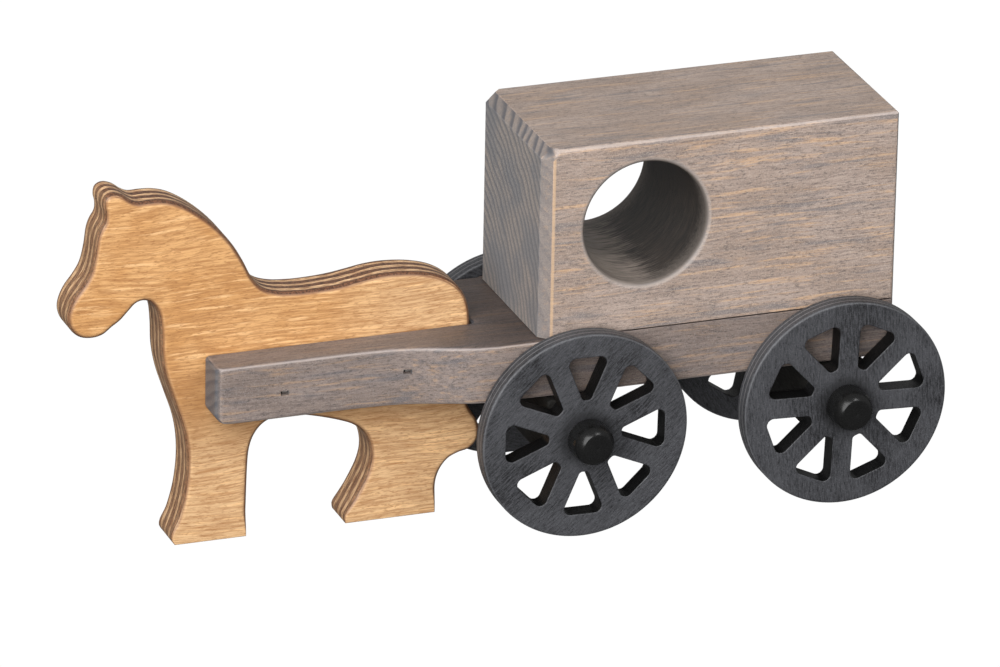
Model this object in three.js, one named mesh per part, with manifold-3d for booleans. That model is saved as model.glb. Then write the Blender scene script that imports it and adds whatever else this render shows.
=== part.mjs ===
// A wooden push toy: a plywood horse held between the shafts of a covered buggy that
// rolls on four spoked wheels. Millimetres, +X forward (the horse's nose), +Y to the
// horse's left, +Z up. The ground is z = 0 and the origin is under the middle of the toy.
//
// While the toy is being built, x = 0 is the front axle. The last lines move it over the origin.

import * as THREE from 'three';
import { mergeVertices } from 'three/addons/utils/BufferGeometryUtils.js';
import Module from 'manifold-3d';

const wasm = await Module();
wasm.setup();

// ---------------------------------------------------------------- driving dimensions

const GAP = 0.3; // between two pieces that touch
const PAST = 5; // how far a cutting shape runs past the face that it opens
const CURVE_STEPS = 3; // straight steps in each stretch of a curved outline
const MERGE_DISTANCE = 1e-4; // vertices closer than this are one

// wheels and axles
const WHEEL_RADIUS = 32;
const WHEEL_THICKNESS = 6.3;
const WHEEL_OUTER_FACE_Y = 35.7;
const WHEELBASE = 82;
const SPOKE_COUNT = 8;
const SPOKE_WIDTH = 6.4;
const OPENING_INNER_RADIUS = 11.5;
const OPENING_OUTER_RADIUS = 25.7;
const OPENING_CORNER_RADIUS = 1.8;
const CORNER_SHARE = 0.45; // the most of an opening's side that one rounded corner takes
const AXLE_RADIUS = 3.175;
const CAP_RADIUS = 6.35;
const CAP_LENGTH = 8.6;
const CAP_EDGE_RADIUS = 2;
const CAP_SOCKET_DEPTH = 6;
const FRONT_CAP_BASE_Y = 37.4;
const REAR_CAP_BASE_Y = 36.2;
const CAP_SIDES = 28;
const RIM_SIDES = 64;
const AXLE_SIDES = 24;

// how far each wheel is turned in its resting place, in degrees about +Y
const WHEEL_TURNS = { front_left: 21.7, front_right: 10.5, rear_left: -2.3, rear_right: -11.5 };

// chassis board and its two shafts
const BOARD_THICKNESS = 17.9;
const BOARD_BOTTOM = 41.9;
const BOARD_HALF_WIDTH = 26.7;
const BOARD_REAR_X = -100.1;
const SHAFT_TIP_X = 108.4;
const SHAFT_HALF_WIDTH = 18.8; // from the centre line to a shaft's outer face
const SHAFT_CORNER_RADIUS = 2.5;
const SHAFT_TIP_CHAMFER = 2.2;
const SLOT_END_X = 25;
const SHOULDER_START_X = 24; // where the board begins to draw in
const SHOULDER_END_X = 72; // where the shafts' outer faces are straight again

// buggy body
const CABIN_FRONT_X = 11.4;
const CABIN_HEIGHT = 59.3;
const FRONT_CHAMFER = 3;
const REAR_CHAMFER = 2;
const ROOF_CHAMFER = 2;
const WINDOW_X = -20.8;
const WINDOW_Z = 93.3;
const WINDOW_RADIUS = 19;
const WINDOW_SIDES = 56;

// horse
const HORSE_THICKNESS = 12.7;
const HORSE_EDGE = 1.8; // the routed edge, here a chamfer
const HORSE_CURVE_STEPS = 2;
const SOLE_Z = 0.2;

// axle blocks
const BLOCK_LENGTH_X = 19;
const BLOCK_HEIGHT = 20;
const BLOCK_HALF_WIDTH = 28.6;

// brads and screws
const BRAD_WIDTH = 1.6;
const BRAD_DEPTH = 1.1;
const BRAD_SINK = 1.5; // how far a brad's end lies below the wood
const SHAFT_BRAD_LENGTH = 16;
const BLOCK_BRAD_LENGTH = 30;
const BLOCK_BRAD_X = 5.6;
const BLOCK_BRAD_Y = 18;
const SCREW_LENGTH = 28;
const SCREW_RADIUS = 2.1;
const SCREW_HEAD_RADIUS = 4.2;
const SCREW_HEAD_HEIGHT = 3.4;
const SCREW_HEAD_RIM = 0.6;
const SCREW_POINT_LENGTH = 5;
const SCREW_SIDES = 16;
const SCREW_SINK = 0.6;
const SCREW_XS = { front: -27, rear: -62 };

// worked out from the dimensions above
const AXLE_Z = WHEEL_RADIUS;
const AXLE_XS = { front: 0, rear: -WHEELBASE };
const BOARD_TOP = BOARD_BOTTOM + BOARD_THICKNESS;
const CABIN_BOTTOM = BOARD_TOP + GAP;
const CABIN_TOP = CABIN_BOTTOM + CABIN_HEIGHT;
const SLOT_HALF_WIDTH = HORSE_THICKNESS / 2 + GAP;
const BLOCK_TOP = BOARD_BOTTOM - GAP;
const SIDES = { left: 1, right: -1 };

// The two brads in each shaft, with the distance from the centre line to the shaft's face there.
const SHAFT_BRADS = {
  front: { x: 87.2, z: 50, halfWidth: SHAFT_HALF_WIDTH },
  rear: { x: 49.8, z: 52.6, halfWidth: 20.4 },
};

// ---------------------------------------------------------------- materials

function finish(color, roughness, metalness = 0) {
  return new THREE.MeshStandardMaterial({ color, roughness, metalness });
}

const MATERIALS = {
  birch: finish(0xd9a566, 0.6),
  stain: finish(0x8d7c70, 0.6),
  block: finish(0x4b4845, 0.6),
  wheel: finish(0x3a3a3d, 0.6),
  cap: finish(0x1d1c1b, 0.35),
  axle: finish(0x3e3d3a, 0.6),
  steel: finish(0x8a8d90, 0.4, 1),
};

// ---------------------------------------------------------------- solids

// A closed three.js geometry as a solid that can be joined and cut.
function solid(geometry) {
  const plain = geometry.index ? geometry.toNonIndexed() : geometry.clone();
  plain.deleteAttribute('normal');
  plain.deleteAttribute('uv');
  const merged = mergeVertices(plain, MERGE_DISTANCE);
  const vertProperties = new Float32Array(merged.attributes.position.array);
  const triVerts = new Uint32Array(merged.index.array);
  return new wasm.Manifold(new wasm.Mesh({ numProp: 3, vertProperties, triVerts }));
}

// A solid as a three.js geometry.
function geometryOf(body) {
  const mesh = body.getMesh();
  const geometry = new THREE.BufferGeometry();
  geometry.setAttribute('position', new THREE.BufferAttribute(mesh.vertProperties, 3));
  geometry.setIndex(new THREE.BufferAttribute(mesh.triVerts, 1));
  geometry.computeVertexNormals();
  return geometry;
}

function cutAll(body, cutters) {
  return cutters.reduce((rest, cutter) => rest.subtract(cutter), body);
}

// An extrusion of a plan outline (x, y) from z = low to z = high.
function upright(shape, low, high) {
  const settings = { depth: high - low, bevelEnabled: false, curveSegments: CURVE_STEPS };
  return new THREE.ExtrudeGeometry(shape, settings).translate(0, 0, low);
}

// An extrusion of a side outline (x, z) across the toy, from y = low to y = high.
function crosswise(shape, low, high, options = {}) {
  const settings = { depth: high - low, bevelEnabled: false, curveSegments: CURVE_STEPS, ...options };
  const geometry = new THREE.ExtrudeGeometry(shape, settings);
  return geometry.rotateX(Math.PI / 2).translate(0, high, 0);
}

function box(lowX, highX, lowY, highY, lowZ, highZ) {
  const geometry = new THREE.BoxGeometry(highX - lowX, highY - lowY, highZ - lowZ);
  return geometry.translate((lowX + highX) / 2, (lowY + highY) / 2, (lowZ + highZ) / 2);
}

// A round bar along Y between two y values.
function crossBar(x, z, radius, lowY, highY, sides) {
  const geometry = new THREE.CylinderGeometry(radius, radius, highY - lowY, sides);
  return geometry.translate(x, (lowY + highY) / 2, z);
}

function vectors(points) {
  return points.map(([x, y]) => new THREE.Vector2(x, y));
}

function polygon(points) {
  return new THREE.Shape(vectors(points));
}

const parts = new THREE.Group();

function add(name, geometry, material, turnDegrees = 0, position = [0, 0, 0]) {
  const mesh = new THREE.Mesh(geometry, material);
  mesh.name = name;
  mesh.rotation.y = THREE.MathUtils.degToRad(turnDegrees);
  mesh.position.set(...position);
  parts.add(mesh);
}

// ---------------------------------------------------------------- fasteners

// A brad is a plain rectangular wire; grow makes the slightly larger hole for it.
function shaftBrad(x, z, halfWidth, side, grow = 0) {
  const outer = halfWidth - BRAD_SINK;
  const [near, far] = [outer - SHAFT_BRAD_LENGTH - grow, grow ? halfWidth + PAST : outer];
  const [lowY, highY] = side > 0 ? [near, far] : [-far, -near];
  return box(x - BRAD_WIDTH / 2 - grow, x + BRAD_WIDTH / 2 + grow, lowY, highY,
    z - BRAD_DEPTH / 2 - grow, z + BRAD_DEPTH / 2 + grow);
}

const shaftBrads = [];
for (const [place, { x, z, halfWidth }] of Object.entries(SHAFT_BRADS)) {
  for (const [sideName, side] of Object.entries(SIDES)) {
    shaftBrads.push({
      name: `shaft_brad_${place}_${sideName}`,
      body: shaftBrad(x, z, halfWidth, side),
      hole: shaftBrad(x, z, halfWidth, side, GAP),
    });
  }
}

// Two brads go up through each axle block into the board, one on each side of the axle.
function blockBrad(x, y, grow = 0) {
  const low = BLOCK_TOP - BLOCK_HEIGHT + BRAD_SINK;
  return box(x - BRAD_WIDTH / 2 - grow, x + BRAD_WIDTH / 2 + grow,
    y - BRAD_DEPTH / 2 - grow, y + BRAD_DEPTH / 2 + grow,
    grow ? low - PAST : low, low + BLOCK_BRAD_LENGTH + grow);
}

const blockBrads = [];
for (const [axle, axleX] of Object.entries(AXLE_XS)) {
  for (const [sideName, side] of Object.entries(SIDES)) {
    const x = axleX + side * BLOCK_BRAD_X;
    blockBrads.push({
      name: `block_brad_${axle}_${sideName}`,
      body: blockBrad(x, side * BLOCK_BRAD_Y),
      hole: blockBrad(x, side * BLOCK_BRAD_Y, GAP),
    });
  }
}

// A countersunk wood screw, standing head down with its head at z = 0.
function screw(grow = 0) {
  const shank = SCREW_RADIUS + grow;
  const profile = [
    [0, grow ? -PAST : 0],
    [SCREW_HEAD_RADIUS + grow, grow ? -PAST : 0],
    [SCREW_HEAD_RADIUS + grow, SCREW_HEAD_RIM],
    [shank, SCREW_HEAD_HEIGHT + grow],
    [shank, SCREW_LENGTH - SCREW_POINT_LENGTH],
    [0, SCREW_LENGTH + grow],
  ];
  return new THREE.LatheGeometry(vectors(profile), SCREW_SIDES).rotateX(Math.PI / 2);
}

const screws = Object.entries(SCREW_XS).map(([place, x]) => ({
  name: `cabin_screw_${place}`,
  body: screw().translate(x, 0, BOARD_BOTTOM + SCREW_SINK),
  hole: screw(GAP).translate(x, 0, BOARD_BOTTOM + SCREW_SINK),
}));

// ---------------------------------------------------------------- horse

// The horse's outline, x forward of the front axle and z above the ground. It is drawn
// as two smooth runs that meet at the flat soles.
const TOPLINE = [
  [36, SOLE_Z], [35.8, 5], [35.5, 10], [34.2, 13.7], [31.8, 16.6], [28.6, 18.1], [25.4, 18.9],
  [22.9, 21.3], [22.2, 24.8], [23.2, 28.6], [25.6, 32.4], [26.6, 37], [25.9, 44], [25.7, 51],
  [25.7, 58], [26.1, 63.5], [27.4, 68.1], [29.6, 71.3], [32.5, 73.7], [36.2, 75.6], [40.6, 76.9],
  [45.5, 77.7], [51, 78], [56, 77.7], [61, 76.9], [66.5, 76.1], [72.5, 75.7], [79, 75.7],
  [85.4, 76.4], [90.3, 78.3], [93.6, 82.2], [96.1, 87.2], [99, 92.2], [102.7, 97], [107.3, 101.6],
  [112.2, 105.4], [116.8, 108], [120.9, 109.2], [124.8, 109.5], [128.3, 109.5], [130.7, 110.5],
  [133.3, 112.4], [136.2, 113.2], [138.4, 112.1], [138.9, 109.7], [138.4, 107.2], [138.6, 104.6],
  [140, 102.2], [141, 99.3], [141.7, 94.2], [143, 89], [145.1, 85.4], [147.6, 82.1], [149.3, 78.5],
  [149.7, 75.2], [148.5, 71.8], [145.8, 69.4], [142.2, 68.7], [138.9, 69.4], [136.2, 71.4],
  [133.5, 73.3], [131, 75.9], [128.7, 78.1], [126, 78.5], [123.6, 77], [122, 73.5], [121.4, 68],
  [121.1, 60.5], [119.7, 53.2], [117, 45], [114.6, 37.8], [113.4, 31.5], [113.1, 25.2], [113.5, 19.4],
  [114.4, 14], [116, 8.2], [118, SOLE_Z],
];
const BELLY = [
  [94.8, SOLE_Z], [94.6, 10], [94.3, 21], [93.8, 27.5], [92.3, 32], [89.6, 35.2], [86, 36.7],
  [82, 36.9], [77, 36.2], [71, 34.7], [65.4, 32.9], [61.4, 31.1], [58.3, 28.2], [56.6, 24.5],
  [56.2, 20], [57.3, 15.4], [59.6, 10.6], [64.7, SOLE_Z],
];

function horseShape() {
  const [top, belly] = [TOPLINE, BELLY].map(vectors);
  const shape = new THREE.Shape();
  shape.moveTo(top[0].x, top[0].y);
  shape.splineThru(top.slice(1));
  shape.lineTo(belly[0].x, belly[0].y);
  shape.splineThru(belly.slice(1));
  shape.closePath();
  return shape;
}

function horse() {
  const half = HORSE_THICKNESS / 2 - HORSE_EDGE;
  const geometry = crosswise(horseShape(), -half, half, {
    curveSegments: HORSE_CURVE_STEPS,
    bevelEnabled: true,
    bevelThickness: HORSE_EDGE,
    bevelSize: HORSE_EDGE,
    bevelOffset: -HORSE_EDGE,
    bevelSegments: 1,
  });
  return cutAll(solid(geometry), shaftBrads.map(({ hole }) => solid(hole)));
}

add('horse', geometryOf(horse()), MATERIALS.birch);

// ---------------------------------------------------------------- chassis board

// The board draws in, in an easy curve, from its full width to the two shafts.
const SHOULDER = [
  [SHOULDER_START_X, BOARD_HALF_WIDTH], [30, 26], [35, 24.7], [40, 23], [46, 21.2], [53, 19.7],
  [62, 19], [SHOULDER_END_X, SHAFT_HALF_WIDTH],
];

// The board seen from above.
function boardShape() {
  const tip = SHAFT_TIP_X - SHAFT_CORNER_RADIUS;
  const corner = SHAFT_HALF_WIDTH - SHAFT_CORNER_RADIUS;
  const right = vectors(SHOULDER.map(([x, y]) => [x, -y]));
  const left = vectors(SHOULDER).reverse();
  const shape = new THREE.Shape();
  shape.moveTo(BOARD_REAR_X, -BOARD_HALF_WIDTH);
  shape.lineTo(right[0].x, right[0].y);
  shape.splineThru(right.slice(1));
  shape.absarc(tip, -corner, SHAFT_CORNER_RADIUS, -Math.PI / 2, 0, false);
  shape.lineTo(SHAFT_TIP_X, -SLOT_HALF_WIDTH);
  shape.lineTo(SLOT_END_X, -SLOT_HALF_WIDTH);
  shape.lineTo(SLOT_END_X, SLOT_HALF_WIDTH);
  shape.lineTo(SHAFT_TIP_X, SLOT_HALF_WIDTH);
  shape.absarc(tip, corner, SHAFT_CORNER_RADIUS, 0, Math.PI / 2, false);
  shape.lineTo(left[0].x, left[0].y);
  shape.splineThru(left.slice(1));
  shape.lineTo(BOARD_REAR_X, BOARD_HALF_WIDTH);
  shape.closePath();
  return shape;
}

// The wedge that slopes the lower front corner of both shafts.
function tipWedge() {
  const [x, z] = [SHAFT_TIP_X, BOARD_BOTTOM];
  const outline = [
    [x - SHAFT_TIP_CHAMFER - PAST, z - PAST],
    [x + PAST, z - PAST],
    [x + PAST, z + SHAFT_TIP_CHAMFER + PAST],
  ];
  return crosswise(polygon(outline), -BOARD_HALF_WIDTH, BOARD_HALF_WIDTH);
}

function chassisBoard() {
  const board = solid(upright(boardShape(), BOARD_BOTTOM, BOARD_TOP));
  const holes = [...shaftBrads, ...blockBrads, ...screws].map(({ hole }) => solid(hole));
  return cutAll(board, [solid(tipWedge()), ...holes]);
}

add('chassis_board', geometryOf(chassisBoard()), MATERIALS.stain);

// ---------------------------------------------------------------- cabin

// The block is what three extrusions have in common: its side, plan and end outlines.
function cabin() {
  const [rear, front, half] = [BOARD_REAR_X, CABIN_FRONT_X, BOARD_HALF_WIDTH];
  const [low, high] = [CABIN_BOTTOM, CABIN_TOP];
  const side = polygon([
    [rear, low], [front, low], [front, high - FRONT_CHAMFER], [front - FRONT_CHAMFER, high],
    [rear + REAR_CHAMFER, high], [rear, high - REAR_CHAMFER],
  ]);
  const plan = polygon([
    [rear + REAR_CHAMFER, -half], [front - FRONT_CHAMFER, -half], [front, FRONT_CHAMFER - half],
    [front, half - FRONT_CHAMFER], [front - FRONT_CHAMFER, half], [rear + REAR_CHAMFER, half],
    [rear, half - REAR_CHAMFER], [rear, REAR_CHAMFER - half],
  ]);
  const end = polygon([
    [-half, low], [half, low], [half, high - ROOF_CHAMFER], [half - ROOF_CHAMFER, high],
    [ROOF_CHAMFER - half, high], [-half, high - ROOF_CHAMFER],
  ]);
  const endBlock = new THREE.ExtrudeGeometry(end, { depth: front - rear + 2 * PAST, bevelEnabled: false });
  endBlock.rotateX(Math.PI / 2).rotateZ(Math.PI / 2).translate(rear - PAST, 0, 0);
  const block = solid(crosswise(side, -half, half))
    .intersect(solid(upright(plan, low, high)))
    .intersect(solid(endBlock));
  const reach = half + PAST;
  const window = crossBar(WINDOW_X, WINDOW_Z, WINDOW_RADIUS, -reach, reach, WINDOW_SIDES);
  return cutAll(block, [window, ...screws.map(({ hole }) => hole)].map(solid));
}

add('cabin', geometryOf(cabin()), MATERIALS.stain);

// ---------------------------------------------------------------- running gear

function axleBlock(x) {
  const [halfLength, halfWidth] = [BLOCK_LENGTH_X / 2, BLOCK_HALF_WIDTH];
  const low = BLOCK_TOP - BLOCK_HEIGHT;
  const reach = halfWidth + PAST;
  const block = box(x - halfLength, x + halfLength, -halfWidth, halfWidth, low, BLOCK_TOP);
  const bore = crossBar(x, AXLE_Z, AXLE_RADIUS + GAP, -reach, reach, AXLE_SIDES);
  return cutAll(solid(block), [bore, ...blockBrads.map(({ hole }) => hole)].map(solid));
}

// One wedge between two spokes, lying along +x. Its long sides are parallel to the
// spokes, and its four corners are rounded.
function openingCorners() {
  const halfAngle = Math.PI / SPOKE_COUNT;
  const side = (radius) => {
    const tilt = halfAngle - Math.asin(SPOKE_WIDTH / 2 / radius);
    return new THREE.Vector2(radius * Math.cos(tilt), radius * Math.sin(tilt));
  };
  const [inner, outer] = [side(OPENING_INNER_RADIUS), side(OPENING_OUTER_RADIUS)];
  return [inner, outer, new THREE.Vector2(outer.x, -outer.y), new THREE.Vector2(inner.x, -inner.y)];
}

function roundedPath(corners, radius) {
  const path = new THREE.Path();
  const count = corners.length;
  corners.forEach((corner, i) => {
    const before = corners[(i + count - 1) % count].clone().sub(corner);
    const after = corners[(i + 1) % count].clone().sub(corner);
    const bend = Math.acos(before.clone().normalize().dot(after.clone().normalize()));
    const room = CORNER_SHARE * Math.min(before.length(), after.length());
    const reach = Math.min(radius / Math.tan(bend / 2), room);
    const start = corner.clone().add(before.setLength(reach));
    const stop = corner.clone().add(after.setLength(reach));
    if (i === 0) {
      path.moveTo(start.x, start.y);
    } else {
      path.lineTo(start.x, start.y);
    }
    path.quadraticCurveTo(corner.x, corner.y, stop.x, stop.y);
  });
  path.closePath();
  return path;
}

function circle(radius, count) {
  return Array.from({ length: count }, (_, i) => {
    const angle = (2 * Math.PI * i) / count;
    return [radius * Math.cos(angle), radius * Math.sin(angle)];
  });
}

function wheelShape() {
  const shape = polygon(circle(WHEEL_RADIUS, RIM_SIDES));
  shape.holes.push(polygon(circle(AXLE_RADIUS + GAP, AXLE_SIDES)));
  for (let i = 0; i < SPOKE_COUNT; i += 1) {
    const turn = (2 * Math.PI * (i + 0.5)) / SPOKE_COUNT;
    const corners = openingCorners().map((point) => point.rotateAround(new THREE.Vector2(), turn));
    shape.holes.push(roundedPath(corners, OPENING_CORNER_RADIUS));
  }
  return shape;
}

function wheel() {
  return crosswise(wheelShape(), -WHEEL_THICKNESS / 2, WHEEL_THICKNESS / 2);
}

// A turned cap with a rounded outer edge and a blind socket for the axle's end.
// It stands along +Y with its base at y = 0.
function hubCap() {
  const socketRadius = AXLE_RADIUS + GAP;
  const profile = [
    [0, CAP_SOCKET_DEPTH], [socketRadius, CAP_SOCKET_DEPTH], [socketRadius, 0], [CAP_RADIUS, 0],
  ];
  for (let i = 0; i <= CURVE_STEPS; i += 1) {
    const angle = (i / CURVE_STEPS) * (Math.PI / 2);
    profile.push([
      CAP_RADIUS - CAP_EDGE_RADIUS * (1 - Math.cos(angle)),
      CAP_LENGTH - CAP_EDGE_RADIUS * (1 - Math.sin(angle)),
    ]);
  }
  profile.push([0, CAP_LENGTH]);
  return new THREE.LatheGeometry(vectors(profile), CAP_SIDES);
}

const CAP_BASES = { front: FRONT_CAP_BASE_Y, rear: REAR_CAP_BASE_Y };

for (const [axle, x] of Object.entries(AXLE_XS)) {
  add(`${axle}_axle_block`, geometryOf(axleBlock(x)), MATERIALS.block);
  const axleEnd = CAP_BASES[axle] + CAP_SOCKET_DEPTH - GAP;
  add(`${axle}_axle`, crossBar(x, AXLE_Z, AXLE_RADIUS, -axleEnd, axleEnd, AXLE_SIDES), MATERIALS.axle);
  for (const [sideName, side] of Object.entries(SIDES)) {
    const place = `${axle}_${sideName}`;
    const middleY = side * (WHEEL_OUTER_FACE_Y - WHEEL_THICKNESS / 2);
    add(`wheel_${place}`, wheel(), MATERIALS.wheel, WHEEL_TURNS[place], [x, middleY, AXLE_Z]);
    const cap = hubCap().rotateX(side > 0 ? 0 : Math.PI).translate(x, side * CAP_BASES[axle], AXLE_Z);
    add(`hub_cap_${place}`, cap, MATERIALS.cap);
  }
}

// ---------------------------------------------------------------- brads and screws

for (const { name, body } of [...shaftBrads, ...blockBrads, ...screws]) {
  add(name, body, MATERIALS.steel);
}

// ---------------------------------------------------------------- the finished toy

parts.updateMatrixWorld(true);
const middle = new THREE.Box3().setFromObject(parts, true).getCenter(new THREE.Vector3());
parts.position.x = -middle.x;

export default parts;
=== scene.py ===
"""A wooden toy horse and buggy: the finished look of each wooden and steel piece.

Sizes are in millimetres until a piece's mesh is made, and then in metres. +X is forward,
+Y is the horse's left and +Z is up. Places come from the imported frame's own boxes.
"""

import itertools
import math

import bmesh
import bpy
import numpy as np
from mathutils import Matrix, Vector, geometry


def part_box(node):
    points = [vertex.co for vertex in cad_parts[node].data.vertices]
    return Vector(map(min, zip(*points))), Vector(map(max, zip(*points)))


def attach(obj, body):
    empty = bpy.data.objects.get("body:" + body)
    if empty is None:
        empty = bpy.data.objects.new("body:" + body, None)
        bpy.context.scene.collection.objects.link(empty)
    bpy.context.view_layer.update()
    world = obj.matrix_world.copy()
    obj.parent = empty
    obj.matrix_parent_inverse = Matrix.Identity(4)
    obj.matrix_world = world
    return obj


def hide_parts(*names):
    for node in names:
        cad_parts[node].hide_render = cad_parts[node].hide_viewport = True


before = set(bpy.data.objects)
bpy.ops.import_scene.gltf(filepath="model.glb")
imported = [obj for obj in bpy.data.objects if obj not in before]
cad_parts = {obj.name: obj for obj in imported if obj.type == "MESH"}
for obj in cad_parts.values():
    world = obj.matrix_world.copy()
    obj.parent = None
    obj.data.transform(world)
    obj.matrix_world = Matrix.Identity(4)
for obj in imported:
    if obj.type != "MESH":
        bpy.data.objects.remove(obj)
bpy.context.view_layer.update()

MM = 0.001
AXLES = ("front", "rear")
SIDES = {"left": 1, "right": -1}


def span(node):
    """A node's lowest and highest corners, in millimetres."""
    low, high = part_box(node)
    return np.array(low) / MM, np.array(high) / MM


def middle(node):
    low, high = span(node)
    return (low + high) / 2


AXLE_X = {axle: middle(f"{axle}_axle")[0] for axle in AXLES}
AXLE_Z = middle("front_axle")[2]
WHEEL_RADIUS = AXLE_Z
HORSE_LOW, HORSE_HIGH = span("horse")
HORSE_HALF = (HORSE_HIGH[1] - HORSE_LOW[1]) / 2
SOLE_Z = HORSE_LOW[2]
BOARD_LOW, BOARD_HIGH = span("chassis_board")
CABIN_LOW, CABIN_HIGH = span("cabin")
CABIN_FRONT = CABIN_HIGH[0]
FRONT_CHAMFER = 3.0
WINDOW_RADIUS = 19.0
WINDOW = Vector((AXLE_X["front"] - 20.8, 0, 93.3))

# ---------------------------------------------------------------- the camera

CAMERA_TURN = math.radians(20.325)  # from +Y towards +X
CAMERA_RISE = math.radians(22.517)
CAMERA_ROLL = math.radians(-1.111)
CAMERA_AIM = Vector((-3.67, 0, 52.22))
CAMERA_DISTANCE = 2901.1
CAMERA_LENS = 354.0
CAMERA_CLIP = (0.1, 20.0)  # metres


def make_camera():
    a, e, r = CAMERA_TURN, CAMERA_RISE, CAMERA_ROLL
    back = Vector((math.sin(a) * math.cos(e), math.cos(a) * math.cos(e), math.sin(e)))
    level = (-back).cross(Vector((0, 0, 1))).normalized()
    upward = level.cross(-back)
    right = level * math.cos(r) - upward * math.sin(r)
    up = level * math.sin(r) + upward * math.cos(r)
    camera = bpy.data.objects.new("camera", bpy.data.cameras.new("camera"))
    bpy.context.scene.collection.objects.link(camera)
    turn = Matrix((right, up, back)).transposed().to_4x4()
    camera.matrix_world = Matrix.Translation((CAMERA_AIM + back * CAMERA_DISTANCE) * MM) @ turn
    camera.data.lens = CAMERA_LENS
    camera.data.clip_start, camera.data.clip_end = CAMERA_CLIP
    bpy.context.scene.camera = camera


make_camera()

# ---------------------------------------------------------------- outlines

SPLINE_STEPS = 8  # in each stretch between two points
EDGE_STEPS = 6
SUPPORT = 0.4  # the width of the narrow ring inside each eased edge
LEAST_BEND = 0.5  # keeps the mitre at a sharp corner short
WHOLE_HULL = 0  # what delaunay_2d_cdt fills: all that the edges enclose, holes too
SAME_POINT = 1e-6


def spline(points):
    """A smooth run through the points, from the first to the last."""
    p = np.array(points, float)
    padded = np.vstack([p[:1], p, p[-1:]])
    t = np.linspace(0, 1, SPLINE_STEPS, endpoint=False)[:, None]
    runs = []
    for a, b, c, d in zip(padded, padded[1:], padded[2:], padded[3:]):
        square = (2 * a - 5 * b + 4 * c - d) * t**2
        cube = (3 * b - a - 3 * c + d) * t**3
        runs.append(0.5 * (2 * b + (c - a) * t + square + cube))
    return np.vstack([*runs, p[-1:]])


def even(points, spacing):
    """The same open run with points at an even spacing, its ends kept."""
    lengths = np.linalg.norm(np.diff(points, axis=0), axis=1)
    along = np.concatenate([[0], np.cumsum(lengths)])
    places = np.linspace(0, along[-1], max(2, round(along[-1] / spacing) + 1))
    return np.stack([np.interp(places, along, points[:, i]) for i in range(2)], axis=1)


def divided(loop, longest):
    """A closed loop whose sides are cut so that none is longer than longest."""
    made = []
    for start, stop in zip(loop, np.roll(loop, -1, axis=0)):
        count = max(1, math.ceil(np.linalg.norm(stop - start) / longest))
        made.extend(start + (stop - start) * i / count for i in range(count))
    return np.array(made)


def rounded(corners, steps=6):
    """A closed loop of corners (u, v, radius), each with its own rounding."""
    made = []
    for (bu, bv, _), (u, v, radius), (au, av, _) in zip(
        corners[-1:] + corners[:-1], corners, corners[1:] + corners[:1]
    ):
        corner = np.array([u, v])
        if radius == 0:
            made.append(corner)
            continue
        before = np.array([bu, bv]) - corner
        after = np.array([au, av]) - corner
        before /= np.linalg.norm(before)
        after /= np.linalg.norm(after)
        half = math.acos(np.clip(before @ after, -1, 1)) / 2
        bisector = (before + after) / np.linalg.norm(before + after)
        centre = corner + bisector * radius / math.sin(half)
        start = corner + before * radius / math.tan(half) - centre
        stop = corner + after * radius / math.tan(half) - centre
        for i in range(steps + 1):
            mixed = start * (1 - i / steps) + stop * i / steps
            made.append(centre + mixed / np.linalg.norm(mixed) * radius)
    return np.array(made)


def circle(radius, count, clockwise=False):
    angles = np.linspace(0, 2 * math.pi, count, endpoint=False)
    if clockwise:
        angles = -angles
    return np.stack([radius * np.cos(angles), radius * np.sin(angles)], axis=1)


def inward(loop):
    """The mitre at each point of a loop, towards the wood on the loop's left."""
    side = np.roll(loop, -1, axis=0) - loop
    normal = np.stack([-side[:, 1], side[:, 0]], axis=1)
    normal /= np.linalg.norm(normal, axis=1)[:, None]
    both = normal + np.roll(normal, 1, axis=0)
    both /= np.linalg.norm(both, axis=1)[:, None]
    return both / np.maximum((both * normal).sum(1), LEAST_BEND)[:, None]


def prism(loops, low, high, low_sizes, high_sizes, levels=1):
    """Points (u, v, w) and faces of an outline with holes, with rounded edges.

    Each loop has the wood on its left. The two lists of sizes give, for each loop, the
    radius of its edge at w = low and at w = high, as one number or one for each point.
    """
    turn = np.linspace(0, math.pi / 2, EDGE_STEPS + 1)
    eased = list(zip(1 - np.cos(turn), 1 - np.sin(turn)))
    points, faces, low_cap, high_cap = [], [], [], []
    count = 0
    for loop, low_size, high_size in zip(loops, low_sizes, high_sizes):
        n = len(loop)
        low_size = np.broadcast_to(low_size, n)[:, None]
        high_size = np.broadcast_to(high_size, n)[:, None]
        mitre = inward(loop)
        rings = [(loop + mitre * (low_size + SUPPORT), low + 0 * low_size)]
        rings += [(loop + mitre * low_size * i, low + low_size * d) for i, d in reversed(eased)]
        bottom, top = low + low_size, high - high_size
        rings += [(loop, bottom + (top - bottom) * k / levels) for k in range(1, levels)]
        rings += [(loop + mitre * high_size * i, high - high_size * d) for i, d in eased]
        rings.append((loop + mitre * (high_size + SUPPORT), high + 0 * high_size))
        points.extend(np.hstack([flat, heights]) for flat, heights in rings)
        for r in range(len(rings) - 1):
            for i in range(n):
                a, b = count + r * n + i, count + r * n + (i + 1) % n
                faces.append((a, b, b + n, a + n))
        low_cap.append((count, n, rings[0][0]))
        high_cap.append((count + (len(rings) - 1) * n, n, rings[-1][0]))
        count += len(rings) * n
    for caps, flip in ((low_cap, True), (high_cap, False)):
        for a, b, c in cap_triangles(caps):
            faces.append((a, c, b) if flip else (a, b, c))
    return np.vstack(points), faces


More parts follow.
